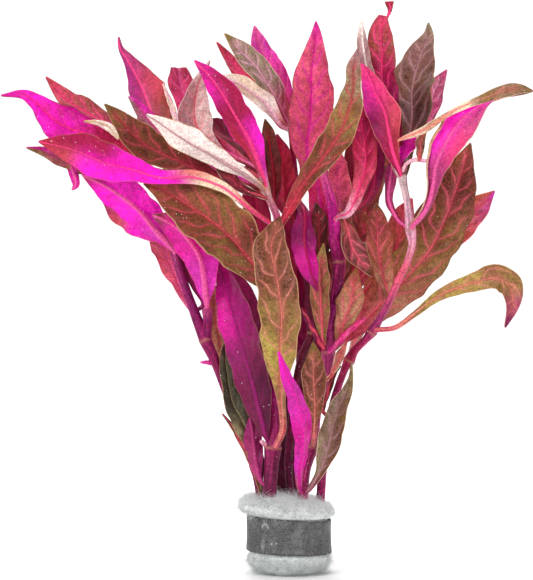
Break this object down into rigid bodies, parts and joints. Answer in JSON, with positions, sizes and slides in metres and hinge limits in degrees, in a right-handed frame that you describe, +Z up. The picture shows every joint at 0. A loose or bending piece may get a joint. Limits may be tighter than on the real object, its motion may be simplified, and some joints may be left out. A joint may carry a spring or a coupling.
{
  "type": "aquarium plant bunch",
  "caption": "Bunch of red-leaved aquarium stem plants, held upright in a wool plug with a metal weight strip bent round it.",
  "frame": {"origin": "centre of the wool plug's flat foot, on the surface that the bunch stands on", "axes": "+Z up along the stems, -Y towards the front that the picture shows, +X to the right seen from the front"},
  "size_m": [0.1725, 0.0877, 0.1862],
  "materials": {
    "wool": "matte",
    "weight_strip": "satin",
    "stem": "gloss",
    "leaf_magenta": "gloss",
    "leaf_pink": "gloss",
    "leaf_coral": "gloss",
    "leaf_purple": "gloss",
    "leaf_crimson": "gloss",
    "leaf_brown": "gloss",
    "leaf_olive": "gloss",
    "leaf_pale": "satin"
  },
  "bodies": {
    "root": {"wool_plug": "wool", "weight_strip": "weight_strip", "stem_left": "stem", "stem_centre_left": "stem", "stem_centre_thin": "stem", "stem_centre_right": "stem", "stem_right": "stem", "leaf_left_outermost": "leaf_coral", "leaf_left_upper_red": "leaf_coral", "leaf_left_hot_pink": "leaf_magenta", "leaf_left_pink_underside": "leaf_pink", "leaf_left_low_round": "leaf_purple", "leaf_left_hanging": "leaf_pink", "leaf_left_small_tip": "leaf_magenta", "leaf_left_tall_purple": "leaf_purple", "leaf_left_sliver": "leaf_magenta", "leaf_white_underside": "leaf_pale", "leaf_left_brown": "leaf_brown", "leaf_big_brown": "leaf_brown", "leaf_magenta_cup": "leaf_magenta", "leaf_purple_front": "leaf_purple", "leaf_purple_back": "leaf_purple", "leaf_low_dark": "leaf_olive", "leaf_low_small_purple": "leaf_purple", "leaf_centre_front": "leaf_brown", "leaf_low_magenta": "leaf_magenta", "leaf_low_centre_pink": "leaf_pink", "leaf_low_right_brown": "leaf_brown", "leaf_top_magenta": "leaf_magenta", "leaf_top_white_curl": "leaf_pale", "leaf_top_olive": "leaf_olive", "leaf_top_pink": "leaf_pink", "leaf_top_red": "leaf_coral", "leaf_torn_brown": "leaf_brown", "leaf_top_grey_pink": "leaf_pink", "leaf_top_broken": "leaf_coral", "leaf_back_crimson": "leaf_crimson", "leaf_back_dark_strip": "leaf_crimson", "leaf_centre_crimson": "leaf_crimson", "leaf_top_coral": "leaf_coral", "leaf_diagonal_brown": "leaf_brown", "leaf_hanging_purple": "leaf_purple", "leaf_centre_olive": "leaf_olive", "leaf_back_purple": "leaf_purple", "leaf_back_salmon": "leaf_pink", "leaf_hanging_dark": "leaf_brown", "leaf_right_tall_pink": "leaf_pink", "leaf_right_inner_coral": "leaf_coral", "leaf_top_right_tall": "leaf_coral", "leaf_top_right_pale": "leaf_pale", "leaf_right_tall_brown": "leaf_brown", "leaf_right_twisted": "leaf_magenta", "leaf_right_narrow_purple": "leaf_purple", "leaf_right_drooping": "leaf_olive", "leaf_right_big_brown": "leaf_brown", "leaf_right_back_outer": "leaf_brown", "leaf_right_back_inner": "leaf_brown", "leaf_right_orange": "leaf_coral", "leaf_right_coral": "leaf_coral", "leaf_right_green": "leaf_olive"}
  },
  "joints": []
}
